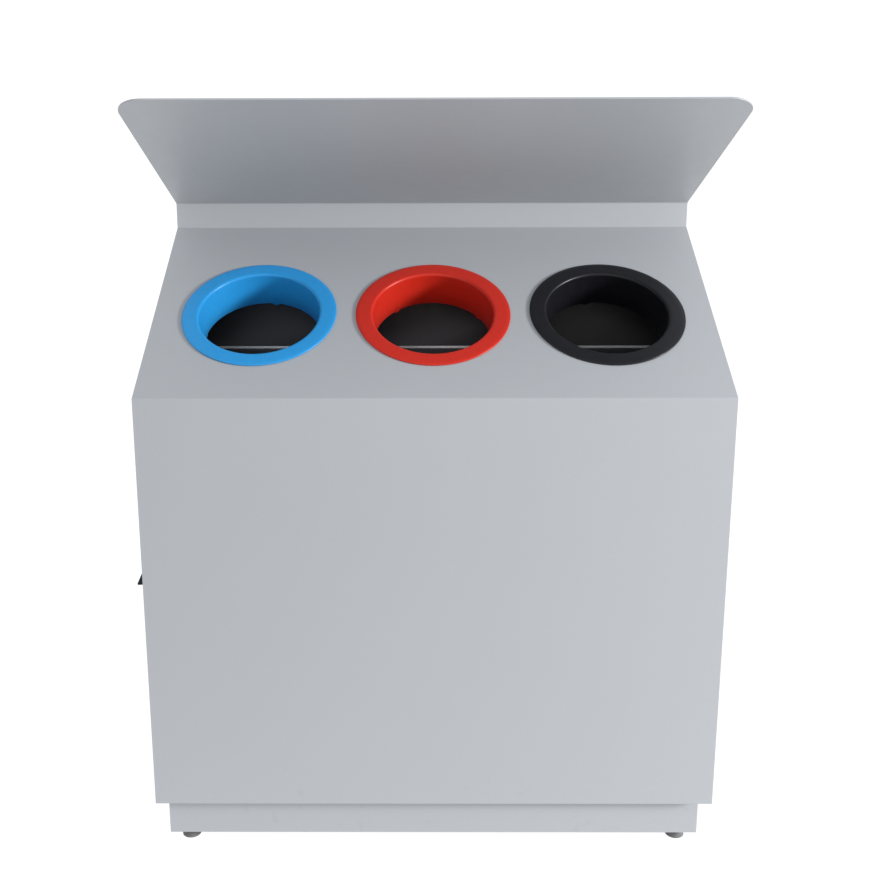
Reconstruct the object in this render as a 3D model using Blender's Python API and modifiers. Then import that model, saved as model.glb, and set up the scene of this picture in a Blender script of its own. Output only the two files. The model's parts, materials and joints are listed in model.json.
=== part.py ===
"""Recycling bin station: a sheet-steel cabinet with three round openings, a canopy and a side door.

Built in metres, +Z up, facing -Y. The cabinet frame has x = 0 midway between the sides, y = 0 on
the front face and z = 0 on the floor. The empty named station carries it to the part's own origin.
"""
import math

import bmesh
import bpy
from mathutils import Matrix, Vector

MM = 0.001
GAP = 0.3 * MM

# Cabinet
WIDTH = 1000 * MM
DEPTH = 389 * MM
SHEET = 2 * MM
FRONT_HEIGHT = 738 * MM
DECK_RISE = 275 * MM
FOLD_RADIUS = 4 * MM
FRONT_RETURN = 30 * MM
DECK_RETURN = 30 * MM
BOTTOM_RETURN = 35 * MM
REAR_RETURN = 50 * MM

# Canopy
CANOPY_SHEET = 3 * MM
RISER_HEIGHT = 47 * MM
CANOPY_LENGTH = 434 * MM
CANOPY_LEAN = math.radians(70.3)
CANOPY_CORNER = 48 * MM
CANOPY_TONGUE = 60 * MM

# Openings
PITCH = 311.4 * MM
RING_ALONG_DECK = 0.455
RING_RADIUS = 138.5 * MM
THROAT_RADIUS = 108 * MM
THROAT_DEPTH = 65 * MM
THROAT_WALL = 2.5 * MM
HOLE_RADIUS = THROAT_RADIUS + 5 * MM
FLANGE_CROWN = 3.2 * MM
CLAMP_WIDTH = 16.5 * MM
CLAMP_THICKNESS = 2 * MM

# Base
FOOT_HEIGHT = 22 * MM
PLINTH_HEIGHT = 74 * MM
PLINTH_SIDE_INSET = 17 * MM
PLINTH_FRONT_INSET = 26 * MM
PLINTH_WALL = 2.5 * MM
PLINTH_FLANGE = 25 * MM
FOOT_INSET = 32 * MM
FOOT_PLATE = 6 * MM
STUD_RADIUS = 5 * MM
STUD_BORE = 5.4 * MM
RAIL_HEIGHT = 14 * MM
RAIL_FLANGE = 14 * MM
DRAIN_RADIUS = 8 * MM

# Door and lock
TRAY_DEPTH = 16 * MM
POST_DEPTH = 30 * MM
LATCH_GAP = 2.5 * MM
TOP_GAP = 4 * MM
HINGE_NOTCH = 60 * MM
HINGE_GAP = 1.3 * MM
KNUCKLE_RADIUS = 5 * MM
KNUCKLE_LENGTH = 34 * MM
HINGE_LEVELS = {"lower": 120 * MM, "upper": 700 * MM}
BUMPER_LEVELS = {"lower": 90 * MM, "upper": 640 * MM}
LOCK_Y = 66 * MM
LOCK_Z = 526 * MM
LEVER_REACH = 26 * MM
LEVER_WIDTH = 14 * MM
LOCK_RADIUS = 11 * MM
LOCK_DEPTH = 33 * MM
CAM_LENGTH = 46 * MM

# Bins
BIN_TOP = (292 * MM, 300 * MM)
BIN_BOTTOM = (268 * MM, 272 * MM)
BIN_REAR_RIM = 873 * MM
BIN_FRONT_RIM = 760 * MM
BIN_WALL = 3 * MM
BIN_LIP = 4 * MM
BIN_CORNER = 28 * MM
BIN_Y = 200 * MM

# Worked out from the sizes above
HALF = WIDTH / 2
FLOOR_Z = FOOT_HEIGHT + PLINTH_HEIGHT
FRONT_TOP = FLOOR_Z + FRONT_HEIGHT
DECK_TOP = FRONT_TOP + DECK_RISE
DECK_SLOPE = math.atan2(DECK_RISE, DEPTH)
DECK_LENGTH = math.hypot(DEPTH, DECK_RISE)
RISER_Y = DEPTH + GAP
RISER_TOP = DECK_TOP + RISER_HEIGHT
REAR_Y = RISER_Y + CANOPY_SHEET + GAP
BACK_Y = REAR_Y + SHEET
CANOPY_TIP = (RISER_Y - CANOPY_LENGTH * math.sin(CANOPY_LEAN),
              RISER_TOP + CANOPY_LENGTH * math.cos(CANOPY_LEAN))
TRAY_Z = FLOOR_Z + SHEET + GAP
TRAY_TOP = TRAY_Z + SHEET
DOOR_FRONT = FRONT_RETURN + LATCH_GAP
DOOR_REAR = DEPTH + GAP + SHEET - POST_DEPTH - HINGE_GAP
POST_FRONT = DOOR_REAR + HINGE_GAP
HINGE_X = -HALF - GAP - KNUCKLE_RADIUS
HINGE_Y = DOOR_REAR + HINGE_GAP / 2
RING_Y = DEPTH * RING_ALONG_DECK
RING_Z = FRONT_TOP + DECK_RISE * RING_ALONG_DECK
ORIGIN_SHIFT = (LEVER_REACH / 2, -(CANOPY_TIP[0] + BACK_Y) / 2)

STREAMS = {"blue": -PITCH, "red": 0.0, "black": PITCH}
CORNERS = {"front_left": (-1, -1), "front_right": (1, -1), "rear_left": (-1, 1), "rear_right": (1, 1)}

COLOURS = {
    "grey_paint": ((0.52, 0.54, 0.56), 0.45, 0.0),
    "blue_plastic": ((0.035, 0.29, 0.68), 0.4, 0.0),
    "red_plastic": ((0.52, 0.03, 0.02), 0.4, 0.0),
    "black_plastic": ((0.012, 0.012, 0.016), 0.4, 0.0),
    "liner_plastic": ((0.02, 0.02, 0.022), 0.5, 0.0),
    "inner_coat": ((0.055, 0.056, 0.06), 0.45, 0.0),
    "hoop_coat": ((0.72, 0.74, 0.76), 0.5, 0.0),
    "zinc": ((0.6, 0.6, 0.6), 0.35, 1.0),
    "rubber": ((0.02, 0.02, 0.02), 0.8, 0.0),
}


# ---------------------------------------------------------------- tools

def clear_scene():
    for old in list(bpy.data.objects):
        bpy.data.objects.remove(old)


def make_collection(name):
    group = bpy.data.collections.new(name)
    bpy.context.scene.collection.children.link(group)
    return group


def material(slot, name):
    """A Principled material of the slot's colour for one sub-part."""
    colour, roughness, metallic = COLOURS[slot]
    made = bpy.data.materials.new(name + "_finish")
    made.use_nodes = True
    shader = made.node_tree.nodes["Principled BSDF"]
    shader.inputs["Base Color"].default_value = (*colour, 1)
    shader.inputs["Roughness"].default_value = roughness
    shader.inputs["Metallic"].default_value = metallic
    return made


def add_object(name, mesh, slot=None, parent=None, location=(0, 0, 0), rotation=None):
    """Link one mesh object: a sub-part if it has a slot, otherwise a hidden cutter."""
    made = bpy.data.objects.new(name, mesh)
    (PARTS if slot else CUTTERS).objects.link(made)
    if slot:
        mesh.materials.append(material(slot, name))
    else:
        made.hide_render = True
        made.display_type = "WIRE"
    made.location = location
    if rotation is not None:
        made.rotation_euler = rotation.to_euler()
    made.parent = parent or STATION
    return made


def add_empty(name, location, parent=None):
    made = bpy.data.objects.new(name, None)
    PARTS.objects.link(made)
    made.location = location
    made.parent = parent or STATION
    return made


def mesh_from(bm, name):
    mesh = bpy.data.meshes.new(name)
    bm.to_mesh(mesh)
    bm.free()
    return mesh


def box_mesh(name, low, high, origin=(0, 0, 0)):
    """A box primitive between two corners, measured from origin."""
    bm = bmesh.new()
    bmesh.ops.create_cube(bm, size=1)
    size = [b - a for a, b in zip(low, high)]
    centre = [(a + b) / 2 - o for a, b, o in zip(low, high, origin)]
    bmesh.ops.scale(bm, vec=size, verts=bm.verts)
    bmesh.ops.translate(bm, vec=centre, verts=bm.verts)
    return mesh_from(bm, name)


def box(name, low, high, slot=None, parent=None, origin=(0, 0, 0)):
    return add_object(name, box_mesh(name, low, high, origin), slot, parent)


def prism_mesh(name, outline, low, high):
    """A flat YZ outline filled and given thickness from x = low to x = high."""
    curve = bpy.data.curves.new(name, "CURVE")
    curve.dimensions = "2D"
    curve.fill_mode = "BOTH"
    curve.extrude = (high - low) / 2
    spline = curve.splines.new("POLY")
    spline.points.add(len(outline) - 1)
    for point, (y, z) in zip(spline.points, outline):
        point.co = (y, z, 0, 1)
    spline.use_cyclic_u = True
    holder = bpy.data.objects.new(name, curve)
    bpy.context.scene.collection.objects.link(holder)
    graph = bpy.context.evaluated_depsgraph_get()
    mesh = bpy.data.meshes.new_from_object(holder.evaluated_get(graph))
    bpy.data.objects.remove(holder)
    bm = bmesh.new()
    bm.from_mesh(mesh)
    bmesh.ops.remove_doubles(bm, verts=bm.verts, dist=1e-6)
    turn = Matrix(((0, 0, 1, (low + high) / 2), (1, 0, 0, 0), (0, 1, 0, 0), (0, 0, 0, 1)))
    bmesh.ops.transform(bm, matrix=turn, verts=bm.verts)
    bmesh.ops.recalc_face_normals(bm, faces=bm.faces)
    bm.to_mesh(mesh)
    bm.free()
    return mesh


def prism(name, outline, low, high, slot=None, parent=None):
    return add_object(name, prism_mesh(name, outline, low, high), slot, parent)


def boolean(target, tool, operation="DIFFERENCE"):
    cut = target.modifiers.new(tool.name, "BOOLEAN")
    cut.operation = operation
    cut.solver = "EXACT"
    cut.object = tool


def turned(name, profile, slot=None, parent=None, location=(0, 0, 0), rotation=None, steps=48, closed=True):
    """Screw a profile of (radius, height) points, which runs down its outer side, round local Z."""
    bm = bmesh.new()
    points = [bm.verts.new((r, 0, h)) for r, h in profile]
    for a, b in zip(points, points[1:]):
        bm.edges.new((a, b))
    if closed:
        bm.edges.new((points[-1], points[0]))
    made = add_object(name, mesh_from(bm, name), slot, parent, location, rotation)
    screw = made.modifiers.new("turn", "SCREW")
    screw.steps = steps
    screw.render_steps = steps
    screw.use_merge_vertices = True
    screw.merge_threshold = 0.00001
    return made


def arc(centre, radius, start, end, count):
    """Points on a circle between two angles in degrees."""
    angles = [math.radians(start + (end - start) * i / count) for i in range(count + 1)]
    return [(centre[0] + radius * math.cos(a), centre[1] + radius * math.sin(a)) for a in angles]


def deck_z(y, drop=0.0):
    """Height of the deck's outer face at y, lowered by a distance square to the deck."""
    return FRONT_TOP + y * math.tan(DECK_SLOPE) - drop / math.cos(DECK_SLOPE)


def disc(name, radius, low, high, centre, axis="Z", slot=None, parent=None, steps=32):
    """A solid cylinder from low to high along an axis through centre."""
    turn = {"Z": Matrix.Identity(3), "X": Matrix.Rotation(math.pi / 2, 3, "Y")}[axis]
    profile = [(0, high), (radius, high), (radius, low), (0, low)]
    return turned(name, profile, slot, parent, centre, turn, steps, closed=False)


def hex_nut(name, radius, bore, low, high, centre, axis="Z"):
    """A hexagonal nut with a plain round hole."""
    nut = disc(name, radius, low, high, centre, axis, "zinc", None, 6)
    boolean(nut, disc("cut_" + name, bore, low - 5 * MM, high + 5 * MM, centre, axis))
    return nut


# ---------------------------------------------------------------- cabinet

def body_outline(inset):
    """Side view of the cabinet, with its front-top fold rounded, drawn in by inset."""
    radius = max(FOLD_RADIUS - inset, 0.5 * MM)
    tangent = FOLD_RADIUS * math.tan((math.pi / 2 - DECK_SLOPE) / 2)
    centre = (FOLD_RADIUS, FRONT_TOP - tangent)
    fold = arc(centre, radius, 180, 90 + math.degrees(DECK_SLOPE), 6)
    return [(inset, FLOOR_Z + inset)] + fold + [(DEPTH - inset, deck_z(DEPTH - inset, inset)),
                                                (DEPTH - inset, FLOOR_Z + inset)]


def side_outline(inset):
    """The door and the right-hand panel: a trapezium under the deck's side return."""
    top = DECK_RETURN + TOP_GAP + inset
    front = DOOR_FRONT + inset
    rear = DOOR_REAR - inset
    low = TRAY_TOP + LATCH_GAP + inset
    return [(front, low), (front, deck_z(front, top)), (rear, deck_z(rear, top)), (rear, low)]


def front_shell():
    """Front, deck and their returns, folded from one sheet and open at both sides and the rear."""
    shell = prism("front_shell", body_outline(0), -HALF, HALF, "grey_paint")
    boolean(shell, prism("cut_inside", body_outline(SHEET), -HALF + SHEET, HALF - SHEET))
    side = [(FRONT_RETURN, FLOOR_Z - SHEET), (FRONT_RETURN, deck_z(FRONT_RETURN, DECK_RETURN)),
            (DEPTH + SHEET, deck_z(DEPTH + SHEET, DECK_RETURN)), (DEPTH + SHEET, FLOOR_Z - SHEET)]
    boolean(shell, prism("cut_sides", side, -HALF - SHEET, HALF + SHEET))
    boolean(shell, box("cut_side_returns", (-HALF - SHEET, SHEET + BOTTOM_RETURN, FLOOR_Z - SHEET),
                       (HALF + SHEET, DEPTH + SHEET, FLOOR_Z + 2 * SHEET)))
    boolean(shell, box("cut_rear", (-HALF - SHEET, DEPTH - 2 * SHEET, FLOOR_Z - SHEET),
                       (HALF + SHEET, DEPTH + SHEET, DECK_TOP - REAR_RETURN)))
    turn = Matrix.Rotation(DECK_SLOPE, 3, "X")
    for stream, x in STREAMS.items():
        plug = [(0, 30 * MM), (HOLE_RADIUS, 30 * MM), (HOLE_RADIUS, -30 * MM), (0, -30 * MM)]
        hole = turned("cut_hole_" + stream, plug, None, None, (x, RING_Y, RING_Z), turn, 48, closed=False)
        boolean(shell, hole)


def canopy():
    """Riser and canopy, one folded sheet whose front and under face follows the stated sizes."""
    lean = Vector((-math.sin(CANOPY_LEAN), math.cos(CANOPY_LEAN)))
    square = Vector((math.cos(CANOPY_LEAN), math.sin(CANOPY_LEAN)))
    bend = FOLD_RADIUS * math.tan(CANOPY_LEAN / 2)
    centre = (RISER_Y - FOLD_RADIUS, RISER_TOP - bend)
    tip = Vector(CANOPY_TIP)
    turn = math.degrees(CANOPY_LEAN)
    under = [(RISER_Y, DECK_TOP - CANOPY_TONGUE)] + arc(centre, FOLD_RADIUS, 0, turn, 6) + [tuple(tip)]
    over = [tuple(tip + square * CANOPY_SHEET)] + arc(centre, FOLD_RADIUS + CANOPY_SHEET, turn, 0, 6)
    outline = under + over + [(RISER_Y + CANOPY_SHEET, DECK_TOP - CANOPY_TONGUE)]
    sheet = prism("canopy", outline, -HALF, HALF, "grey_paint")
    for side in (-1, 1):
        round_corner(sheet, side, tip, lean)


def round_corner(sheet, side, tip, lean):
    """Cut one tip corner of the canopy to a quarter circle: a block less a cylinder is taken away."""
    reach = CANOPY_CORNER + 5 * MM
    bm = bmesh.new()
    bmesh.ops.create_cube(bm, size=2 * reach)
    block = add_object("cut_corner_%d" % side, mesh_from(bm, "corner_block"))
    bm = bmesh.new()
    bmesh.ops.create_cone(bm, cap_ends=True, segments=64, radius1=CANOPY_CORNER,
                          radius2=CANOPY_CORNER, depth=4 * reach)
    cylinder = add_object("keep_corner_%d" % side, mesh_from(bm, "corner_round"))
    centre = tip - lean * CANOPY_CORNER
    outside = centre + lean * reach
    x = side * (HALF - CANOPY_CORNER)
    cylinder.location = (x, centre.x, centre.y)
    block.location = (x + side * reach, outside.x, outside.y)
    for tool in (cylinder, block):
        tool.rotation_euler = (CANOPY_LEAN - math.pi / 2, 0, 0)
    boolean(block, cylinder)
    boolean(sheet, block)


def side_tray(name, side, parent):
    """A shallow folded tray that fills one side of the cabinet."""
    outer, inner = side * HALF, side * (HALF - TRAY_DEPTH)
    tray = prism(name, side_outline(0), min(outer, inner), max(outer, inner), "grey_paint")
    skin, past = side * (HALF - SHEET), side * (HALF - 2 * TRAY_DEPTH)
    boolean(tray, prism("cut_" + name, side_outline(SHEET), min(skin, past), max(skin, past)))
    if parent:
        keep_world(tray, parent)
    return tray


def keep_world(made, parent):
    """Parent a part built in the cabinet frame to an empty without moving it."""
    made.parent = parent
    made.location = Vector(made.location) - parent.location


def rear_panel():
    """Flat rear sheet with a return at its foot."""
    low = (-HALF, REAR_Y - POST_DEPTH, FLOOR_Z)
    panel = box("rear_panel", low, (HALF, BACK_Y, DECK_TOP), "grey_paint")
    boolean(panel, box("cut_rear_panel", (-HALF - SHEET, low[1] - SHEET, FLOOR_Z + SHEET),
                       (HALF + SHEET, REAR_Y, DECK_TOP + SHEET)))


def posts():
    """Open channels in the four corners; the front ones carry the door stop flange."""
    for name, (side, end) in CORNERS.items():
        if end < 0:
            front, rear = SHEET + GAP, FRONT_RETURN
            outer, inner = HALF - SHEET - GAP, HALF - POST_DEPTH
            low, high = TRAY_TOP + GAP, FRONT_TOP - 3 * SHEET
        else:
            front, rear = POST_FRONT, RISER_Y - SHEET - 2 * GAP
            outer, inner = HALF, HALF - POST_DEPTH
            low, high = TRAY_Z, deck_z(POST_FRONT, DECK_RETURN) - GAP
        xs = sorted((side * outer, side * inner))
        post = box(name + "_post", (xs[0], front, low), (xs[1], rear, high), "inner_coat")
        hollow = sorted((side * (outer - SHEET), side * (inner + SHEET)))
        back = rear + SHEET if end > 0 else rear - SHEET
        start = front + SHEET if end > 0 else front - SHEET
        boolean(post, box("cut_" + name + "_post", (hollow[0], start, low - SHEET),
                          (hollow[1], back, high + SHEET)))
        if end < 0:
            stop_x = HALF - TRAY_DEPTH - 4.5 * MM
            stop = sorted((side * stop_x, side * (stop_x - SHEET)))
            flange = box("add_" + name + "_stop", (stop[0], rear - 3 * MM, low),
                         (stop[1], rear + 14 * MM, high - 20 * MM))
            boolean(post, flange, "UNION")


# ---------------------------------------------------------------- openings

def collars():
    """Flanged throats in the deck and the clamp rings that hold them from below."""
    turn = Matrix.Rotation(DECK_SLOPE, 3, "X")
    outer_wall = THROAT_RADIUS - 1 * MM + THROAT_WALL
    lip = arc((THROAT_RADIUS + 3.5 * MM, 0), 3.5 * MM, 90, 180, 4)
    profile = [(RING_RADIUS - 1.5 * MM, FLANGE_CROWN), (RING_RADIUS, 1.8 * MM), (RING_RADIUS, GAP),
               (outer_wall + 1 * MM, GAP), (outer_wall, -THROAT_DEPTH),
               (outer_wall - THROAT_WALL, -THROAT_DEPTH)] + lip[::-1]
    for stream, x in STREAMS.items():
        place = (x, RING_Y, RING_Z)
        turned("collar_" + stream, profile, stream + "_plastic", None, place, turn, 48)
        inner = outer_wall + 1.5 * MM
        outer = inner + CLAMP_WIDTH
        top = -SHEET - GAP
        ring = [(outer, top), (outer, top - CLAMP_THICKNESS), (inner, top - CLAMP_THICKNESS), (inner, top)]
        turned("clamp_ring_" + stream, ring, "zinc", None, place, turn, 48)


# ---------------------------------------------------------------- base

def plinth():
    """Recessed base frame: four walls with an inward flange along the bottom."""
    front, rear = PLINTH_FRONT_INSET, BACK_Y - PLINTH_FRONT_INSET
    half = HALF - PLINTH_SIDE_INSET
    top = FLOOR_Z - GAP
    frame = box("plinth_frame", (-half, front, FOOT_HEIGHT), (half, rear, top), "grey_paint")
    wall = PLINTH_WALL
    boolean(frame, box("cut_plinth_inside", (-half + wall, front + wall, FOOT_HEIGHT + wall),
                       (half - wall, rear - wall, top + wall)))
    edge = PLINTH_FLANGE
    boolean(frame, box("cut_plinth_bottom", (-half + edge, front + edge, FOOT_HEIGHT - wall),
                       (half - edge, rear - edge, FOOT_HEIGHT + 2 * wall)))
    middle = (front + rear) / 2
    for name, (side, end) in CORNERS.items():
        x = side * (half - FOOT_INSET)
        y = middle + end * ((rear - front) / 2 - FOOT_INSET)
        level_foot(name, x, y, side, end)


def level_foot(name, x, y, side, end):
    """One corner plate, its jam nut, and the foot whose stud runs through both."""
    bottom = FOOT_HEIGHT + PLINTH_WALL + GAP
    reach = FOOT_INSET - PLINTH_WALL - GAP
    xs = sorted((x + side * reach, x - side * 22 * MM))
    ys = sorted((y + end * reach, y - end * 22 * MM))
    plate = box("foot_plate_" + name, (xs[0], ys[0], bottom), (xs[1], ys[1], bottom + FOOT_PLATE), "zinc")
    boolean(plate, disc("cut_plate_" + name, STUD_BORE, -10 * MM, 20 * MM, (x, y, bottom)))
    hex_nut("jam_nut_" + name, 9.5 * MM, STUD_BORE, -6 * MM, 0, (x, y, bottom - PLINTH_WALL - 2 * GAP))
    pad = [(0, 72 * MM), (STUD_RADIUS - 1 * MM, 72 * MM), (STUD_RADIUS, 71 * MM), (STUD_RADIUS, 13 * MM),
           (11 * MM, 12 * MM), (14 * MM, 9 * MM), (17 * MM, 3 * MM), (17 * MM, 1 * MM), (16 * MM, 0), (0, 0)]
    turned("levelling_foot_" + name, pad, "rubber", None, (x, y, 0), None, 24, closed=False)


def floor_pieces():
    """Floor tray with a drain under each liner, two guide rails and the stops between the liners."""
    tray = box("base_tray", (-HALF + SHEET + GAP, SHEET + GAP, TRAY_Z),
               (HALF - SHEET - GAP, POST_FRONT - GAP, TRAY_TOP), "inner_coat")
    for stream, x in STREAMS.items():
        boolean(tray, disc("cut_drain_" + stream, DRAIN_RADIUS, -10 * MM, 10 * MM, (x, BIN_Y, TRAY_Z)))
    rest = TRAY_TOP + GAP
    half = HALF - POST_DEPTH - 5 * MM
    gauge = BIN_BOTTOM[1] / 2 + 4 * MM
    for name, side in (("front", -1), ("rear", 1)):
        leg = [BIN_Y + side * gauge, BIN_Y + side * (gauge + SHEET)]
        foot = BIN_Y + side * (gauge + RAIL_FLANGE)
        rail = box("guide_rail_" + name, (-half, min(leg), rest), (half, max(leg), rest + RAIL_HEIGHT),
                   "zinc")
        ys = sorted((leg[0] + side * SHEET / 2, foot))
        boolean(rail, box("add_rail_" + name, (-half, ys[0], rest), (half, ys[1], rest + SHEET)), "UNION")
    for name, x in (("left", -PITCH / 2), ("right", PITCH / 2)):
        box("bin_stop_" + name, (x - 10 * MM, BIN_Y - gauge + GAP, rest),
            (x + 10 * MM, BIN_Y + gauge - GAP, rest + 6 * MM), "zinc")


# ---------------------------------------------------------------- bins

def rim_z(y):
    """Height of the liner's sloping mouth at a distance y behind the liner's middle."""
    share = (y + BIN_TOP[1] / 2) / BIN_TOP[1]
    return BIN_FRONT_RIM + (BIN_REAR_RIM - BIN_FRONT_RIM) * share


def bins():
    """Tapered liners with a sloping mouth, each with the steel hoop that grips its bag."""
    floor = TRAY_TOP + GAP
    for stream, x in STREAMS.items():
        bm = bmesh.new()
        bmesh.ops.create_cube(bm, size=1)
        for vert in bm.verts:
            size = BIN_TOP if vert.co.z > 0 else BIN_BOTTOM
            px, py = vert.co.x * size[0], vert.co.y * size[1]
            vert.co = (px, py, rim_z(py) - floor if vert.co.z > 0 else 0)
        upright = [e for e in bm.edges if abs(e.verts[0].co.z - e.verts[1].co.z) > 0.3]
        bmesh.ops.bevel(bm, geom=upright, offset=BIN_CORNER, segments=4, profile=0.5, affect="EDGES")
        top = [f for f in bm.faces if min(v.co.z for v in f.verts) > 0.3]
        bmesh.ops.delete(bm, geom=top, context="FACES_ONLY")
        edges = [e for e in bm.edges if e.is_boundary]
        grown = bmesh.ops.extrude_edge_only(bm, edges=edges)["geom"]
        for vert in (g for g in grown if isinstance(g, bmesh.types.BMVert)):
            grow = [1 + 2 * BIN_LIP / size for size in BIN_TOP]
            vert.co.x *= grow[0]
            vert.co.y *= grow[1]
            vert.co.z = rim_z(vert.co.y) - floor
        liner = add_object("bin_" + stream, mesh_from(bm, "bin_" + stream), "liner_plastic", None,
                           (x, BIN_Y, floor))
        wall = liner.modifiers.new("wall", "SOLIDIFY")
        wall.thickness = BIN_WALL
        wall.offset = -1
        wall.use_even_offset = True
        bag_hoop(stream, x)


def bag_hoop(stream, x):
    """A square-section hoop lying on the liner's lip, tilted with the mouth."""
    bar = 4 * MM
    tilt = math.atan2(BIN_REAR_RIM - BIN_FRONT_RIM, BIN_TOP[1])
    half_x = BIN_TOP[0] / 2
    half_y = BIN_TOP[1] / 2 / math.cos(tilt)
    bm = bmesh.new()
    bmesh.ops.create_cube(bm, size=1)
    bmesh.ops.scale(bm, vec=(2 * half_x, 2 * half_y, bar), verts=bm.verts)
    corners = [e for e in bm.edges if abs(e.verts[0].co.z - e.verts[1].co.z) > bar / 2]
    bmesh.ops.bevel(bm, geom=corners, offset=BIN_CORNER, segments=4, profile=0.5, affect="EDGES")
    inner = bm.copy()
    hoop_mesh = mesh_from(bm, "bag_hoop_" + stream)
    shrink = (1 - bar / half_x, 1 - bar / half_y, 4)
    bmesh.ops.scale(inner, vec=shrink, verts=inner.verts)
    place = (x, BIN_Y, rim_z(0) + (BIN_WALL + bar / 2) / math.cos(tilt) + 3 * GAP)
    turn = Matrix.Rotation(tilt, 3, "X")
    hoop = add_object("bag_hoop_" + stream, hoop_mesh, "hoop_coat", None, place, turn)
    boolean(hoop, add_object("cut_hoop_" + stream, mesh_from(inner, "cut_hoop"), None, None, place, turn))


# ---------------------------------------------------------------- door

def door():
    """Left-hand door on two butt hinges, with its stiffener and quarter-turn lock."""
    axis = add_empty("door_axis", (HINGE_X, HINGE_Y, FLOOR_Z))
    panel = side_tray("side_door", -1, axis)
    notch_y = DOOR_REAR - HINGE_NOTCH
    boolean(panel, box("cut_hinge_notch", (-HALF + SHEET, notch_y, deck_z(notch_y, DECK_RETURN) - 30 * MM),
                       (-HALF + 2 * TRAY_DEPTH, DOOR_REAR + SHEET, DECK_TOP)))
    hole = disc("cut_lock_hole", LOCK_RADIUS + GAP, -30 * MM, 30 * MM, (-HALF, LOCK_Y, LOCK_Z), "X")
    boolean(panel, hole)
    inside = -HALF + SHEET + GAP
    hat_y = (DOOR_FRONT + DOOR_REAR) / 2
    stiffener = box("door_stiffener", (inside, hat_y - 30 * MM, FLOOR_Z + 30 * MM),
                    (inside + 12 * MM, hat_y + 30 * MM, deck_z(hat_y, DECK_RETURN) - 60 * MM), "inner_coat")
    boolean(stiffener, box("cut_stiffener", (inside - SHEET, hat_y - 30 * MM + SHEET, FLOOR_Z),
                           (inside + 12 * MM - SHEET, hat_y + 30 * MM - SHEET, DECK_TOP)))
    keep_world(stiffener, axis)
    for level, height in HINGE_LEVELS.items():
        butt_hinge(level, FLOOR_Z + height, axis)
    door_lock(axis)


def butt_hinge(level, z, axis):
    """Frame leaf with the lower knuckle, door leaf with the upper one, and the pin through both."""
    leaf, knuckle, reach = 2 * MM, KNUCKLE_LENGTH, 27 * MM
    bore = 3 * MM
    for owner, side, low in (("frame", 1, z), ("door", -1, z + knuckle + GAP)):
        name = "hinge_%s_leaf_%s" % (owner, level)
        ys = sorted((HINGE_Y, HINGE_Y + side * reach))
        leaf_ys = sorted((HINGE_Y + side * (KNUCKLE_RADIUS + 1 * MM), HINGE_Y + side * reach))
        plate = box(name, (-HALF - GAP - leaf, leaf_ys[0], z),
                    (-HALF - GAP, leaf_ys[1], z + 2 * knuckle + GAP), "zinc")
        boolean(plate, box("add_tongue_" + name, (-HALF - GAP - leaf, ys[0], low),
                           (-HALF - GAP, ys[1], low + knuckle)), "UNION")
        barrel = disc("add_barrel_" + name, KNUCKLE_RADIUS, 0, knuckle, (HINGE_X, HINGE_Y, low))
        boolean(plate, barrel, "UNION")
        boolean(plate, disc("cut_bore_" + name, bore + GAP, -5 * MM, knuckle + 5 * MM,
                            (HINGE_X, HINGE_Y, low)))
        if owner == "door":
            keep_world(plate, axis)
    pin_top = 2 * knuckle + 2 * GAP
    profile = [(0, pin_top + 2 * MM), (3.5 * MM, pin_top + 2 * MM), (4.5 * MM, pin_top + 1 * MM),
               (4.5 * MM, pin_top), (bore, pin_top), (bore, 0), (0, 0)]
    turned("hinge_pin_" + level, profile, "zinc", None, (HINGE_X, HINGE_Y, z), None, 24, closed=False)


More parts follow.
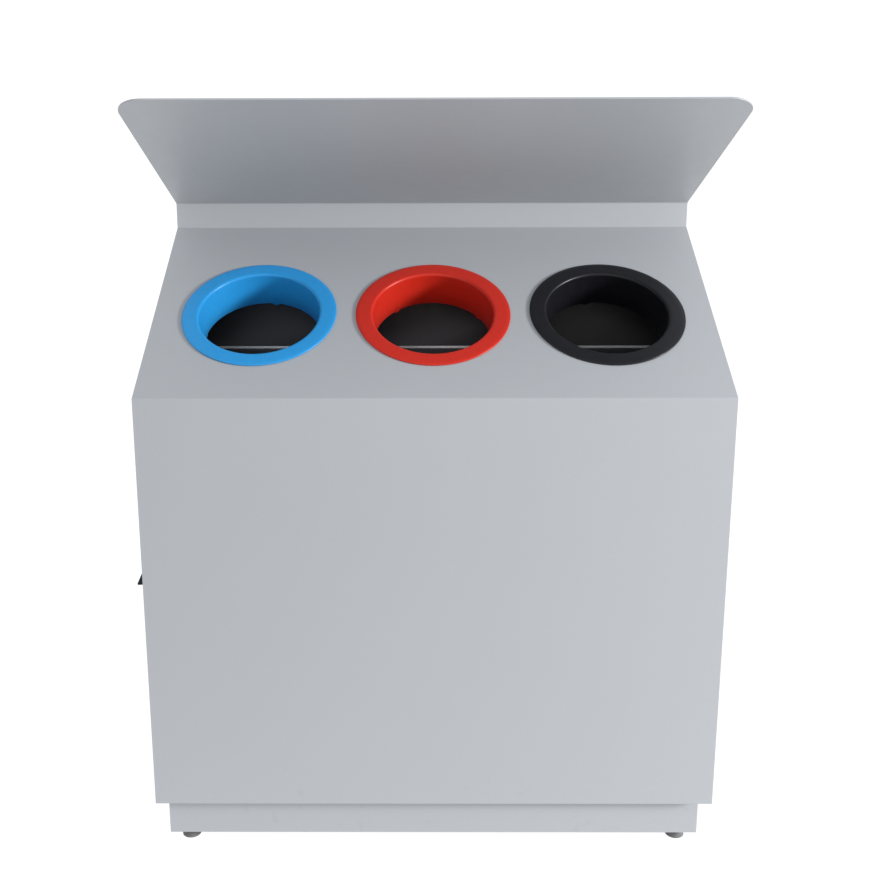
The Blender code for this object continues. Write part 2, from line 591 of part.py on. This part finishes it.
def door_lock(axis):
    """Lock body through the door skin, its back nut, the lever with its spindle, cam, screw and striker."""
    across = Matrix.Rotation(-math.pi / 2, 3, "Y")
    centre = (-HALF, LOCK_Y, LOCK_Z)
    depth = LOCK_DEPTH
    bore = 5.3 * MM
    rim = LOCK_RADIUS + 4 * MM
    body = [(rim - 2 * MM, 3.3 * MM), (rim, 2 * MM), (rim, GAP), (LOCK_RADIUS, GAP),
            (LOCK_RADIUS, -depth), (bore, -depth), (bore, 3.3 * MM)]
    keep_world(turned("lock_body", body, "black_plastic", None, centre, across, 32), axis)
    nut = hex_nut("lock_back_nut", 17 * MM, LOCK_RADIUS + GAP, SHEET + GAP, SHEET + 5 * MM, centre, "X")
    keep_world(nut, axis)
    lock_axis = add_empty("lock_axis", Vector(centre) - axis.location, axis)
    stem = depth + 6 * MM
    shaft = bore - GAP
    spindle = [(0, 11 * MM), (8 * MM, 11 * MM), (11.5 * MM, 9 * MM), (12 * MM, 3.6 * MM),
               (shaft, 3.6 * MM), (shaft, -stem), (0, -stem)]
    lever = turned("lock_lever", spindle, "black_plastic", lock_axis, (0, 0, 0), across, 32, closed=False)
    side_view = [(4 * MM, 9 * MM), (9 * MM, 9 * MM), (13 * MM, 4 * MM), (16 * MM, -13 * MM),
                 (LEVER_REACH, -34.5 * MM), (LEVER_REACH - 0.8 * MM, -37 * MM), (17 * MM, -36.5 * MM),
                 (8 * MM, -13 * MM), (4 * MM, -9 * MM)]
    paddle_mesh = prism_mesh("paddle", side_view, -LEVER_WIDTH / 2, LEVER_WIDTH / 2)
    paddle = add_object("add_paddle", paddle_mesh, None, lock_axis, (0, 0, 0),
                        Matrix.Rotation(math.pi / 2, 3, "Z"))
    boolean(lever, paddle, "UNION")
    cam_x = depth + GAP
    cam = box("lock_cam", (cam_x, -7 * MM, -9 * MM), (cam_x + 3 * MM, 7 * MM, CAM_LENGTH), "zinc",
              lock_axis)
    cut = disc("cut_cam", bore, -60 * MM, 60 * MM, (0, 0, 0), "X")
    cut.parent = lock_axis
    boolean(cam, cut)
    under, crown = -stem - GAP, -stem - GAP - 3 * MM
    head = [(0, under), (7 * MM, under), (7 * MM, crown + 1 * MM), (6 * MM, crown), (0, crown)]
    turned("cam_screw", head, "zinc", lock_axis, (0, 0, 0), across, 24, closed=False)
    plate_x = -HALF + POST_DEPTH + GAP
    box("strike_plate", (plate_x, 4 * MM, LOCK_Z - 30 * MM), (plate_x + 2.4 * MM, 28 * MM, LOCK_Z + 30 * MM),
        "zinc")


def door_bumpers():
    """Rubber pads on the stop flange that the door closes against."""
    for level, height in BUMPER_LEVELS.items():
        centre = (-HALF + TRAY_DEPTH + GAP, FRONT_RETURN + 8 * MM, FLOOR_Z + height)
        disc("door_bumper_" + level, 5 * MM, 0, 3.8 * MM, centre, "X", "rubber", None, 24)


clear_scene()
PARTS = make_collection("recycling_bin_station")
CUTTERS = make_collection("cutters")
STATION = bpy.data.objects.new("station", None)
PARTS.objects.link(STATION)
STATION.location = (*ORIGIN_SHIFT, 0)
front_shell()
canopy()
side_tray("right_side_panel", 1, None)
rear_panel()
posts()
collars()
plinth()
floor_pieces()
bins()
door()
door_bumpers()
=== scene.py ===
"""Looks of the recycling bin station: sheet metal, moulded collars, liners, lock, hinges and feet.

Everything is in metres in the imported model's frame, and every place is worked out from its nodes.
"""
import json
import math

import bmesh
import bpy
from mathutils import Matrix, Vector


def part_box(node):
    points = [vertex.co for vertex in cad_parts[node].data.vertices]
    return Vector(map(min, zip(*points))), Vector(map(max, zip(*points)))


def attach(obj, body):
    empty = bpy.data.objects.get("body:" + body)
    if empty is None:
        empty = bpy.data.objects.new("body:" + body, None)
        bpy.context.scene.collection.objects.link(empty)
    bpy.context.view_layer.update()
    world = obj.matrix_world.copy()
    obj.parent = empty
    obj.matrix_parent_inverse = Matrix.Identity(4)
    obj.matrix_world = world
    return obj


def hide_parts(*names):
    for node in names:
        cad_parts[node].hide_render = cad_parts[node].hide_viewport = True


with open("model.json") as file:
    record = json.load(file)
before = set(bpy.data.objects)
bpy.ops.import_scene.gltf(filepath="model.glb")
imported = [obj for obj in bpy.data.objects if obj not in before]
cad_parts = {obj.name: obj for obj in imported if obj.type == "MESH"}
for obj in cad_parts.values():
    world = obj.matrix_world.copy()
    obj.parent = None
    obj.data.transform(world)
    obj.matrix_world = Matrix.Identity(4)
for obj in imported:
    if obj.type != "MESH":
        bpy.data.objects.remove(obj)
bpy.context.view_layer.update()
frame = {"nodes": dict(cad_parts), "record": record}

MM = 0.001

# Sizes shared with the design
SHEET = 2 * MM
DECK_RISE = 275 * MM
DECK_DEPTH = 389 * MM
RING_RADIUS = 138.5 * MM
THROAT_RADIUS = 108 * MM
THROAT_DEPTH = 65 * MM
THROAT_WALL = 2.5 * MM
CLAMP_DROP = 3.3 * MM

SHELL_LOW, SHELL_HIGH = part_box("front_shell")
MIDDLE_X = (SHELL_LOW.x + SHELL_HIGH.x) / 2
FRONT_Y = SHELL_LOW.y
SHELL_FOOT_Z = SHELL_LOW.z
FRONT_TOP = SHELL_HIGH.z - DECK_RISE
DECK_SLOPE = math.atan2(DECK_RISE, DECK_DEPTH)
DECK_TURN = Matrix.Rotation(DECK_SLOPE, 4, "X")
BACK_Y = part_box("rear_panel")[1].y
STREAMS = ("blue", "red", "black")
# Where each opening's first snap tab stands, in degrees
TAB_ANGLE = {"blue": 82.5, "red": 128.0, "black": 100.0}
CORNERS = ("front_left", "front_right", "rear_left", "rear_right")
BODY_OF = {node: body for body, nodes in frame["record"]["behaviour"]["bodies"].items() for node in nodes}


# ---------------------------------------------------------------- materials

class Finish:
    """A Principled material whose nodes are added step by step, in the object's own coordinates."""

    def __init__(self, name, colour, roughness, metallic=0.0, specular=0.5):
        self.material = bpy.data.materials.new(name)
        self.material.use_nodes = True
        self.tree = self.material.node_tree
        self.shader = self.tree.nodes["Principled BSDF"]
        self.colour = colour
        self.roughness = roughness
        self.set("Base Color", (*colour, 1))
        self.set("Roughness", roughness)
        self.set("Metallic", metallic)
        self.set("Specular IOR Level", specular)
        self.place = self.node("ShaderNodeTexCoord").outputs["Object"]
        self.last_bump = None

    def node(self, kind, **settings):
        made = self.tree.nodes.new(kind)
        for key, value in settings.items():
            setattr(made, key, value)
        return made

    def set(self, socket, value):
        self.shader.inputs[socket].default_value = value

    def link(self, a, b):
        self.tree.links.new(a, b)

    def noise(self, scale, detail=3.0, stretch=None):
        """Noise of a scale in features per metre, drawn out along an axis by stretch."""
        place = self.place
        if stretch:
            mapping = self.node("ShaderNodeMapping")
            mapping.inputs["Scale"].default_value = stretch
            self.link(self.place, mapping.inputs["Vector"])
            place = mapping.outputs["Vector"]
        made = self.node("ShaderNodeTexNoise")
        made.inputs["Scale"].default_value = scale
        made.inputs["Detail"].default_value = detail
        self.link(place, made.inputs["Vector"])
        return made.outputs["Fac"]

    def cells(self, scale):
        made = self.node("ShaderNodeTexVoronoi")
        made.inputs["Scale"].default_value = scale
        self.link(self.place, made.inputs["Vector"])
        return made.outputs["Color"]

    def spread(self, value, low, high, start=0.3, end=0.7):
        """Map a 0 to 1 value from [start, end] to [low, high]."""
        made = self.node("ShaderNodeMapRange")
        made.inputs["From Min"].default_value = start
        made.inputs["From Max"].default_value = end
        made.inputs["To Min"].default_value = low
        made.inputs["To Max"].default_value = high
        self.link(value, made.inputs["Value"])
        return made.outputs["Result"]

    def vary_colour(self, value, colour, amount=1.0):
        """Blend the colour so far towards another one by a value."""
        mix = self.node("ShaderNodeMix", data_type="RGBA")
        mix.inputs["A"].default_value = (*self.colour, 1)
        linked = self.shader.inputs["Base Color"].links
        if linked:
            self.link(linked[0].from_socket, mix.inputs["A"])
        mix.inputs["B"].default_value = (*colour, 1)
        self.link(self.spread(value, 0, amount), mix.inputs["Factor"])
        self.link(mix.outputs["Result"], self.shader.inputs["Base Color"])

    def vary_roughness(self, value, spread):
        result = self.spread(value, self.roughness - spread, self.roughness + spread)
        self.link(result, self.shader.inputs["Roughness"])

    def bump(self, value, depth, strength):
        made = self.node("ShaderNodeBump")
        made.inputs["Strength"].default_value = strength
        made.inputs["Distance"].default_value = depth
        self.link(value, made.inputs["Height"])
        if self.last_bump:
            self.link(self.last_bump, made.inputs["Normal"])
        self.last_bump = made.outputs["Normal"]
        self.link(self.last_bump, self.shader.inputs["Normal"])

    def height_fade(self, low, high):
        """1 at the height low and 0 at high, for dirt that gathers near the floor."""
        split = self.node("ShaderNodeSeparateXYZ")
        self.link(self.place, split.inputs["Vector"])
        return self.spread(split.outputs["Z"], 1, 0, low, high)

    def times(self, a, b):
        made = self.node("ShaderNodeMath", operation="MULTIPLY")
        self.link(a, made.inputs[0])
        self.link(b, made.inputs[1])
        return made.outputs["Value"]


def shifted(colour, factor):
    return tuple(min(1.0, c * factor) for c in colour)


def powder_coat(name, colour):
    """Satin powder coat: fine orange peel, faint mottling and a little scuffing near the floor."""
    finish = Finish(name, colour, 0.42, specular=0.38)
    finish.vary_colour(finish.noise(3, 4), shifted(colour, 0.975), 0.9)
    finish.vary_colour(finish.noise(260, 2), shifted(colour, 1.02), 0.5)
    scuff = finish.times(finish.spread(finish.noise(38, 6), 0, 1, 0.52, 0.75), finish.height_fade(0.02, 0.32))
    finish.vary_colour(scuff, shifted(colour, 0.86), 0.4)
    finish.vary_roughness(finish.noise(45, 4), 0.05)
    finish.bump(finish.noise(420, 2), 0.00012, 0.35)
    finish.bump(finish.noise(1500, 3), 0.00004, 0.3)
    return finish.material


def moulded(name, colour, roughness=0.36, dust=1.12):
    """Moulded plastic: spark-eroded grain, slow gloss changes and fine pale wear."""
    finish = Finish(name, colour, roughness, specular=0.32)
    finish.vary_colour(finish.noise(9, 4), shifted(colour, 0.94), 0.8)
    finish.vary_colour(finish.noise(140, 5), shifted(colour, dust), 0.4)
    finish.vary_roughness(finish.noise(60, 4), 0.05)
    finish.bump(finish.noise(900, 3), 0.00005, 0.35)
    return finish.material


def liner_plastic(name, colour):
    """Thick dark liner plastic with drawn vertical scratches and dust."""
    finish = Finish(name, colour, 0.42, specular=0.5)
    finish.vary_colour(finish.noise(60, 5, (1, 1, 0.06)), shifted(colour, 1.9), 0.35)
    finish.vary_colour(finish.noise(14, 5), shifted(colour, 1.5), 0.5)
    finish.vary_roughness(finish.noise(80, 5, (1, 1, 0.08)), 0.1)
    finish.bump(finish.noise(700, 3), 0.00008, 0.4)
    finish.bump(finish.noise(90, 4, (1, 1, 0.05)), 0.0001, 0.2)
    return finish.material


def zinc_plate(name, colour=(0.58, 0.59, 0.6)):
    """Zinc-plated steel: small spangles, cloudy gloss and dull spots."""
    finish = Finish(name, colour, 0.36, metallic=1.0)
    finish.vary_colour(finish.cells(240), shifted(colour, 0.86), 0.5)
    finish.vary_colour(finish.noise(70, 6), (0.46, 0.45, 0.43), 0.35)
    finish.vary_roughness(finish.noise(120, 5), 0.1)
    finish.bump(finish.noise(800, 4), 0.00004, 0.35)
    return finish.material


def rubber(name, colour):
    finish = Finish(name, colour, 0.75, specular=0.3)
    finish.vary_colour(finish.noise(90, 6), shifted(colour, 1.5), 0.5)
    finish.vary_roughness(finish.noise(50, 4), 0.08)
    finish.bump(finish.noise(650, 4), 0.0001, 0.5)
    return finish.material


MATERIALS = {
    "grey_paint": powder_coat("light_grey_powder_coat", (0.395, 0.413, 0.436)),
    # inner_coat: near-black paint on the faces inside the cabinet, painted shade for its dim inside seen
    # through the openings
    "inner_coat": powder_coat("painted_shade_inner_coat", (0.055, 0.056, 0.06)),
    "blue_plastic": moulded("blue_collar_plastic", (0.022, 0.285, 0.65)),
    "red_plastic": moulded("red_collar_plastic", (0.54, 0.022, 0.011)),
    "black_plastic": moulded("black_collar_plastic", (0.0065, 0.0065, 0.009), 0.38, 1.6),
    "hoop_coat": moulded("pale_hoop_coat", (0.72, 0.74, 0.76), 0.42, 0.9),
    "liner_plastic": liner_plastic("liner_plastic_finish", (0.018, 0.019, 0.021)),
    "foot_plastic": rubber("foot_rubber_finish", (0.14, 0.14, 0.145)),
    "zinc": zinc_plate("zinc_plate_finish"),
    "rubber": rubber("bumper_rubber_finish", (0.02, 0.02, 0.021)),
}
SLOT_OF = {part["node"]: part["material_slot"] for part in frame["record"]["subparts"]}
CABINET_CENTRE = Vector((MIDDLE_X, (FRONT_Y + BACK_Y) / 2, (SHELL_FOOT_Z + FRONT_TOP) / 2))


# ---------------------------------------------------------------- mesh tools

SHARP_ANGLE = math.radians(35)

def finish_piece(piece, slot, body, nodes=()):
    """Give a piece the material of its slot and its body, and hide the nodes that it stands for."""
    piece.data.materials.clear()
    piece.data.materials.append(MATERIALS[slot])
    piece.data.shade_smooth()
    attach(piece, body)
    if nodes:
        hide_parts(*nodes)
    return piece


def add_piece(name, bm):
    mesh = bpy.data.meshes.new(name)
    bm.to_mesh(mesh)
    bm.free()
    piece = bpy.data.objects.new(name, mesh)
    bpy.context.scene.collection.objects.link(piece)
    return piece


def soften(piece, width, segments):
    """Round the sharp edges by a small radius and keep the flats flat."""
    bevel = piece.modifiers.new("edges", "BEVEL")
    bevel.width = width
    bevel.segments = segments
    bevel.limit_method = "ANGLE"
    bevel.angle_limit = SHARP_ANGLE
    bevel.miter_outer = "MITER_ARC"
    bevel.use_clamp_overlap = True
    normals = piece.modifiers.new("flats", "WEIGHTED_NORMAL")
    normals.keep_sharp = True
    normals.weight = 50


def refine(node, width, segments):
    """A piece made from a node's own solid: facets merged into flats and edges rounded."""
    bm = bmesh.new()
    bm.from_mesh(frame["nodes"][node].data)
    bmesh.ops.remove_doubles(bm, verts=bm.verts, dist=1e-6)
    bmesh.ops.dissolve_limit(bm, angle_limit=math.radians(0.4), verts=bm.verts, edges=bm.edges)
    piece = add_piece(node + "_finished", bm)
    soften(piece, width, segments)
    return finish_piece(piece, SLOT_OF[node], BODY_OF[node], [node])


def coat_faces(piece, slot, inward):
    """Give the broad faces that look at, or away from, the cabinet's middle a second finish; the dark inner
    coat on inward faces is painted shade.
    """
    piece.data.materials.append(MATERIALS[slot])
    narrowest = 2.5 * MM
    for face in piece.data.polygons:
        corners = [piece.data.vertices[i].co for i in face.vertices]
        girth = sum((a - b).length for a, b in zip(corners, corners[1:] + corners[:1]))
        looks_in = face.normal.dot(CABINET_CENTRE - face.center) > 0
        if looks_in == inward and face.area / girth > narrowest:
            face.material_index = 1


def lathe(profile, steps=96, shape=None):
    """A bmesh turned round Z from (radius, height) points; shape bends the radius at an angle."""
    bm = bmesh.new()
    rings = []
    for radius, height in profile:
        if radius < 1e-9:
            rings.append([bm.verts.new((0, 0, height))])
            continue
        ring = []
        for i in range(steps):
            angle = 2 * math.pi * i / steps
            r = shape(radius, height, angle) if shape else radius
            ring.append(bm.verts.new((r * math.cos(angle), r * math.sin(angle), height)))
        rings.append(ring)
    for a, b in zip(rings, rings[1:]):
        for i in range(steps):
            j = (i + 1) % steps
            corners = [a[i % len(a)], b[i % len(b)], b[j % len(b)], a[j % len(a)]]
            unique = list(dict.fromkeys(corners))
            if len(unique) > 2:
                bm.faces.new(unique)
    return bm


def closed_lathe(profile, steps=96, shape=None):
    """A turned ring whose profile closes on itself."""
    bm = lathe(profile + profile[:1], steps, shape)
    bmesh.ops.remove_doubles(bm, verts=bm.verts, dist=1e-7)
    bmesh.ops.recalc_face_normals(bm, faces=bm.faces)
    return bm


def arc(centre, radius, start, end, count):
    """Points on a circle between two angles in degrees."""
    angles = [math.radians(start + (end - start) * i / count) for i in range(count + 1)]
    return [(centre[0] + radius * math.cos(a), centre[1] + radius * math.sin(a)) for a in angles]


def box_centre(node):
    low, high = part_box(node)
    return (low + high) / 2


def facing(direction):
    """A turn that takes local +Z to a direction."""
    return Vector((0, 0, 1)).rotation_difference(Vector(direction)).to_matrix().to_4x4()


# ---------------------------------------------------------------- fasteners

def socket_screw(name, place, direction, body, radius=4.5 * MM, height=2.4 * MM):
    """A button-head screw with a hexagonal socket."""
    hexagon = 0.42 * radius

    def shape(r, z, angle):
        if r > 0.5 * radius:
            return r
        part = (angle + math.pi / 6) % (math.pi / 3) - math.pi / 6
        return r / math.cos(part) * math.cos(math.pi / 6)

    dome = [(radius * math.cos(a), height * (0.25 + 0.75 * math.sin(a)))
            for a in (math.radians(12 * i) for i in range(6))]
    profile = [(radius, 0)] + dome + [(hexagon * 1.05, height), (hexagon * 0.98, 0.93 * height),
                                      (hexagon * 0.95, 0.3 * height), (0, 0.25 * height)]
    bm = lathe(profile, 24, shape)
    bmesh.ops.recalc_face_normals(bm, faces=bm.faces)
    piece = add_piece(name, bm)
    piece.matrix_world = Matrix.Translation(place) @ facing(direction)
    finish_piece(piece, "zinc", body)
    piece.data.set_sharp_from_angle(angle=SHARP_ANGLE)


def rivet(name, place, direction, body):
    """A painted blind rivet: a low dome with the dimple its mandrel leaves."""
    radius = 4 * MM
    dome = [(radius, 0), (radius, 0.3 * MM), (0.88 * radius, 0.9 * MM), (0.6 * radius, 1.3 * MM),
            (0.36 * radius, 1.4 * MM), (0.3 * radius, 1.25 * MM), (0.26 * radius, 0.7 * MM), (0, 0.6 * MM)]
    bm = lathe(dome, 24)
    bmesh.ops.recalc_face_normals(bm, faces=bm.faces)
    piece = add_piece(name, bm)
    piece.matrix_world = Matrix.Translation(place) @ facing(direction)
    finish_piece(piece, "grey_paint", body)


# ---------------------------------------------------------------- cabinet

def sheet_metal():
    """All folded sheets keep their solids; their edges are eased as bent, deburred steel."""
    for node in ("canopy", "plinth_frame"):
        refine(node, 0.7 * MM, 3)
    # Their faces inside the cabinet take the dark inner coat: painted shade for its dim inside.
    for node in ("front_shell", "rear_panel", "right_side_panel", "side_door"):
        coat_faces(refine(node, 0.7 * MM, 3), "inner_coat", True)
    # Base tray, stiffener and posts wear the dark inner coat of their slot, painted shade; the rear posts get
    # grey paint back on their outer faces.
    for node in ["base_tray", "door_stiffener"] + [corner + "_post" for corner in CORNERS]:
        piece = refine(node, 0.5 * MM, 2)
        if "rear" in node:
            coat_faces(piece, "grey_paint", False)


def zinc_parts():
    nodes = ["guide_rail_front", "guide_rail_rear", "bin_stop_left", "bin_stop_right", "strike_plate",
             "lock_back_nut", "lock_cam", "cam_screw"]
    nodes += ["clamp_ring_" + stream for stream in STREAMS]
    nodes += [kind + corner for kind in ("foot_plate_", "jam_nut_") for corner in CORNERS]
    for level in ("lower", "upper"):
        nodes += ["hinge_frame_leaf_" + level, "hinge_door_leaf_" + level, "hinge_pin_" + level]
    for node in nodes:
        refine(node, 0.4 * MM, 2)


def small_parts():
    for node in ("door_bumper_lower", "door_bumper_upper", "lock_body"):
        refine(node, 0.5 * MM, 2)
    refine("lock_lever", 0.8 * MM, 3)
    for stream in STREAMS:
        refine("bag_hoop_" + stream, 1.0 * MM, 3)
        refine("bin_" + stream, 1.2 * MM, 3)


# ---------------------------------------------------------------- openings

def ring_place(stream):
    """The centre of a collar on the deck's face, found from its clamp ring below."""
    return box_centre("clamp_ring_" + stream) + DECK_TURN.to_3x3() @ Vector((0, 0, CLAMP_DROP))


def draw_tabs(bm, first):
    """Four short snap tabs below the throat's lower edge, the first at an angle in degrees."""
    tab_length, half_width = 3.6 * MM, math.radians(3.2)
    for vert in bm.verts:
        if vert.co.z < -THROAT_DEPTH + 1.5 * MM:
            angle = math.atan2(vert.co.y, vert.co.x) - math.radians(first)
            if abs((angle + math.pi / 4) % (math.pi / 2) - math.pi / 4) < half_width:
                vert.co.z -= tab_length


def collar(stream):
    """A moulded flange with a rolled inner lip, a drawn throat and moulded tabs at its foot."""
    outer_wall = THROAT_RADIUS - 1 * MM + THROAT_WALL
    inner_wall = outer_wall - THROAT_WALL
    crown = 3.2 * MM
    edge = arc((RING_RADIUS - 1.6 * MM, 1.5 * MM), 1.6 * MM, -30, 75, 6)[::-1]
    face = [(RING_RADIUS - 8 * MM, crown - 0.05 * MM), (THROAT_RADIUS + 11 * MM, crown + 0.1 * MM)]
    lip = arc((THROAT_RADIUS + 5 * MM, crown - 4.8 * MM), 5 * MM, 90, 180, 10)
    foot = [(inner_wall, -THROAT_DEPTH + 1.2 * MM), (inner_wall + 0.4 * MM, -THROAT_DEPTH + 0.4 * MM),
            (inner_wall + 1 * MM, -THROAT_DEPTH), (outer_wall - 0.6 * MM, -THROAT_DEPTH),
            (outer_wall, -THROAT_DEPTH + 1 * MM)]
    wall = [(THROAT_RADIUS - 0.1 * MM, -8 * MM), (THROAT_RADIUS - 0.5 * MM, -THROAT_DEPTH * 0.5)]
    under = [(outer_wall + 1 * MM, 0.3 * MM), (RING_RADIUS - 1 * MM, 0.3 * MM)]
    bm = closed_lathe(edge[::-1] + face + lip + wall + foot + under, 128)
    draw_tabs(bm, TAB_ANGLE[stream])
    piece = add_piece("collar_%s_moulding" % stream, bm)
    piece.matrix_world = Matrix.Translation(ring_place(stream)) @ DECK_TURN
    finish_piece(piece, stream + "_plastic", "cabinet", ["collar_" + stream])
    piece.data.set_sharp_from_angle(angle=math.radians(50))


def clamp_screws(stream):
    """Four small screws pull each clamp ring up against the deck."""
    place = Matrix.Translation(box_centre("clamp_ring_" + stream)) @ DECK_TURN
    radius = THROAT_RADIUS + 11 * MM
    for i in range(4):
        angle = math.radians(45 + 90 * i)
        spot = place @ Vector((radius * math.cos(angle), radius * math.sin(angle), -1.0 * MM))
        down = DECK_TURN.to_3x3() @ Vector((0, 0, -1))
        socket_screw("clamp_screw_%s_%d" % (stream, i + 1), spot, down, "cabinet", 3.5 * MM, 2 * MM)


# ---------------------------------------------------------------- hardware

def hinge_screws():
    """Three screws through each hinge leaf, set on its outer face."""
    leaf_gap = 0.3 * MM
    for level in ("lower", "upper"):
        for owner, body in (("frame", "cabinet"), ("door", "door")):
            low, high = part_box("hinge_%s_leaf_%s" % (owner, level))
            middle_y = (low.y + high.y) / 2 + (3 * MM if owner == "frame" else -3 * MM)
            face_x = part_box("side_door")[0].x - leaf_gap - SHEET
            for i, share in enumerate((0.18, 0.5, 0.82)):
                z = low.z + (high.z - low.z) * share
                socket_screw("hinge_screw_%s_%s_%d" % (owner, level, i + 1), (face_x, middle_y, z),
                             (-1, 0, 0), body, 4 * MM, 2 * MM)


def rear_fasteners():
    """Rivets down both sides of the rear panel and screws through it into the canopy's tongue."""
    low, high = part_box("rear_panel")
    rows = 7
    for side, x in (("left", low.x + 14 * MM), ("right", high.x - 14 * MM)):
        for i in range(rows):
            z = low.z + 40 * MM + (high.z - low.z - 130 * MM) * i / (rows - 1)
            rivet("rear_rivet_%s_%d" % (side, i + 1), (x, high.y, z), (0, 1, 0), "cabinet")
    columns = 6
    for i in range(columns):
        x = low.x + 60 * MM + (high.x - low.x - 120 * MM) * i / (columns - 1)
        socket_screw("canopy_screw_%d" % (i + 1), (x, high.y, high.z - 28 * MM), (0, 1, 0), "cabinet")


def panel_rivets():
    """The fixed right-hand panel is riveted through its skin to the posts behind."""
    low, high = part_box("right_side_panel")
    for column, y in (("front", low.y + 9 * MM), ("rear", high.y - 9 * MM)):
        top = FRONT_TOP + (y - FRONT_Y) * math.tan(DECK_SLOPE) - 60 * MM
        for i in range(5):
            z = low.z + 20 * MM + (top - low.z - 20 * MM) * i / 4
            rivet("side_rivet_%s_%d" % (column, i + 1), (high.x, y, z), (1, 0, 0), "cabinet")


def foot(corner):
    """Levelling foot: a pad with a ribbed neck and a threaded stud."""
    node = "levelling_foot_" + corner
    low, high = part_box(node)
    radius = (high.x - low.x) / 2
    height = high.z - low.z
    stud, pitch = 5 * MM, 1.5 * MM
    base = 13 * MM
    turns = int((height - base - 2 * MM) / pitch)
    thread = []
    for i in range(turns):
        z = height - 1 * MM - i * pitch
        thread += [(stud, z), (stud - 0.55 * MM, z - pitch / 2)]
    pad = [(stud, base), (11 * MM, base - 0.6 * MM), (11.6 * MM, base - 1.4 * MM), (12.2 * MM, 10 * MM),
           (14.5 * MM, 8 * MM), (radius - 1.2 * MM, 4.2 * MM), (radius, 3 * MM), (radius, 1.2 * MM),
           (radius - 1 * MM, 0), (radius - 6 * MM, 0), (radius - 7 * MM, 0.8 * MM), (0, 0.8 * MM)]

    def shape(r, z, angle):
        if 8.5 * MM < z < 12.5 * MM and r > 11.3 * MM:
            return r * (1 - 0.035 * (0.5 + 0.5 * math.cos(24 * angle)))
        return r

    bm = lathe([(0, height), (stud - 1 * MM, height)] + thread + pad, 48, shape)
    bmesh.ops.recalc_face_normals(bm, faces=bm.faces)
    piece = add_piece("foot_%s_pad" % corner, bm)
    centre = box_centre(node)
    piece.location = (centre.x, centre.y, low.z)
    finish_piece(piece, "foot_plastic", BODY_OF[node], [node])
    piece.data.materials.append(MATERIALS["zinc"])
    for face in piece.data.polygons:
        face.material_index = 1 if face.center.z > base else 0
    piece.data.set_sharp_from_angle(angle=math.radians(40))


# ---------------------------------------------------------------- stage

# The glow's strength far in front of the cabinet and beside it, and the stretch in Y where it changes
GLOW_AHEAD, GLOW_BESIDE = 0.58, 0.97
GLOW_START, GLOW_END = FRONT_Y - 1.3, FRONT_Y - 0.15


def stage():
    """A round white floor that turns up into a low white wall; it glows less in front of the cabinet."""
    radius, height = 10.0, 4.0
    bm = lathe([(0, 0), (radius - 1, 0)] + arc((radius - 1, 1), 1, -90, 0, 8) + [(radius, height)], 64)
    floor = add_piece("floor", bm)
    paper = bpy.data.materials.new("white_paper")
    paper.use_nodes = True
    shader = paper.node_tree.nodes["Principled BSDF"]
    shader.inputs["Base Color"].default_value = (0.12, 0.12, 0.12, 1)
    shader.inputs["Roughness"].default_value = 0.8
    shader.inputs["Specular IOR Level"].default_value = 0.0
    shader.inputs["Emission Color"].default_value = (1, 1, 1, 1)
    nodes, links = paper.node_tree.nodes, paper.node_tree.links
    split = nodes.new("ShaderNodeSeparateXYZ")
    links.new(nodes.new("ShaderNodeTexCoord").outputs["Object"], split.inputs["Vector"])
    glow = nodes.new("ShaderNodeMapRange")
    glow.interpolation_type = "SMOOTHSTEP"
    glow.inputs["From Min"].default_value = GLOW_START
    glow.inputs["From Max"].default_value = GLOW_END
    glow.inputs["To Min"].default_value = GLOW_AHEAD
    glow.inputs["To Max"].default_value = GLOW_BESIDE
    links.new(split.outputs["Y"], glow.inputs["Value"])
    links.new(glow.outputs["Result"], shader.inputs["Emission Strength"])
    floor.data.materials.append(paper)


def area_light(name, place, target, size, power):
    light = bpy.data.lights.new(name, "AREA")
    light.shape = "RECTANGLE"
    light.size, light.size_y = size
    light.energy = power
    holder = bpy.data.objects.new(name, light)
    bpy.context.scene.collection.objects.link(holder)
    holder.location = place
    holder.rotation_euler = (Vector(target) - Vector(place)).to_track_quat("-Z", "Y").to_euler()


def lights():
    """An even pale sky, a strong light from the right and a weak one from the front."""
    world = bpy.data.worlds.new("studio")
    bpy.context.scene.world = world
    world.use_nodes = True
    sky = world.node_tree.nodes["Background"]
    sky.inputs["Color"].default_value = (0.95, 0.97, 1.0, 1)
    sky.inputs["Strength"].default_value = 0.8
    aim = (MIDDLE_X, 0, 0.95)
    key_watts, fill_watts = 205, 8
    area_light("key", (3.96, -1.8, 1.52), aim, (0.8, 0.8), key_watts)
    area_light("fill", (-0.3, -3.6, 2.3), aim, (1.8, 1.0), fill_watts)


def camera():
    """The main view: level with the deck's rear edge, a little left of the middle, looking down."""
    tilt_down, turn_side, roll = 12.02, 0.3015, 0.119
    lens = bpy.data.cameras.new("camera")
    lens.sensor_width = 36
    lens.lens = 41.41
    lens.shift_x = 0.0344
    eye = bpy.data.objects.new("camera", lens)
    bpy.context.scene.collection.objects.link(eye)
    eye.location = (MIDDLE_X - 0.0268, FRONT_Y - 1.6577, SHELL_FOOT_Z + 1.0162)
    eye.rotation_euler = (math.radians(90 - tilt_down), math.radians(roll), math.radians(turn_side))
    bpy.context.scene.camera = eye


sheet_metal()
zinc_parts()
small_parts()
for stream_name in STREAMS:
    collar(stream_name)
    clamp_screws(stream_name)
hinge_screws()
rear_fasteners()
panel_rivets()
for corner_name in CORNERS:
    foot(corner_name)
stage()
lights()
camera()
bpy.context.scene.view_settings.view_transform = "Standard"
